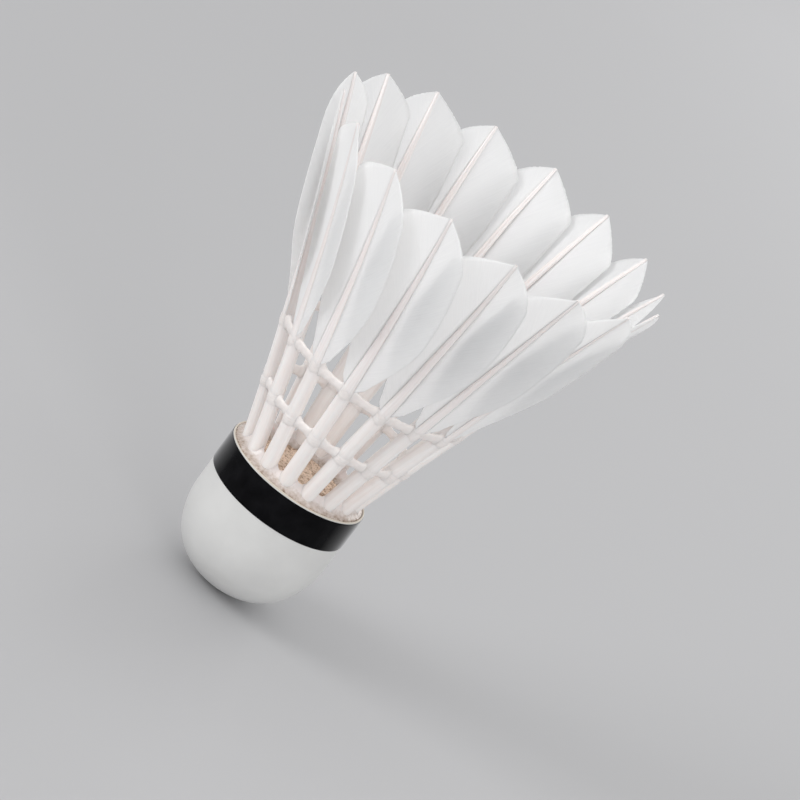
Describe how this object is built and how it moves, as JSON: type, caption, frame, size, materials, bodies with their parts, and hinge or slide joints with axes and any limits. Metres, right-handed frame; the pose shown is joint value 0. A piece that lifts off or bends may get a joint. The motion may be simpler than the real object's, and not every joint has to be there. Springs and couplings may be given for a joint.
{
  "type": "badminton shuttlecock",
  "caption": "Feather badminton shuttlecock: a round leather-covered cork base with a black ribbon, and a flared skirt of overlapping white feathers tied by thread.",
  "frame": {"origin": "lowest point of the nose, on the axis of the base", "axes": "+Z along the axis from the nose of the base to the open mouth of the skirt, and +X through the quill of feather_16"},
  "size_m": [0.0644, 0.0644, 0.0856],
  "materials": {
    "natural_cork": "natural cork, matte",
    "composite_cork": "pressed cork granules, matte",
    "white_leather": "thin white glove leather, satin",
    "black_ribbon": "glossy black ribbon",
    "amber_glue": "dried glue with cork dust, semi-gloss",
    "thread": "twisted thread stiffened with clear glue",
    "quill": "goose quill, translucent cream, satin",
    "vane": "bleached goose feather barbs, matte and slightly translucent"
  },
  "bodies": {
    "root": {"cork_nose": "natural_cork", "cork_core": "composite_cork", "leather_cover": "white_leather", "ribbon_band": "black_ribbon", "glue_ring": "amber_glue", "lower_thread": "thread", "upper_thread": "thread", "feather_01_quill": "quill", "feather_01_vane": "vane", "feather_02_quill": "quill", "feather_02_vane": "vane", "feather_03_quill": "quill", "feather_03_vane": "vane", "feather_04_quill": "quill", "feather_04_vane": "vane", "feather_05_quill": "quill", "feather_05_vane": "vane", "feather_06_quill": "quill", "feather_06_vane": "vane", "feather_07_quill": "quill", "feather_07_vane": "vane", "feather_08_quill": "quill", "feather_08_vane": "vane", "feather_09_quill": "quill", "feather_09_vane": "vane", "feather_10_quill": "quill", "feather_10_vane": "vane", "feather_11_quill": "quill", "feather_11_vane": "vane", "feather_12_quill": "quill", "feather_12_vane": "vane", "feather_13_quill": "quill", "feather_13_vane": "vane", "feather_14_quill": "quill", "feather_14_vane": "vane", "feather_15_quill": "quill", "feather_15_vane": "vane", "feather_16_quill": "quill", "feather_16_vane": "vane"}
  },
  "joints": []
}
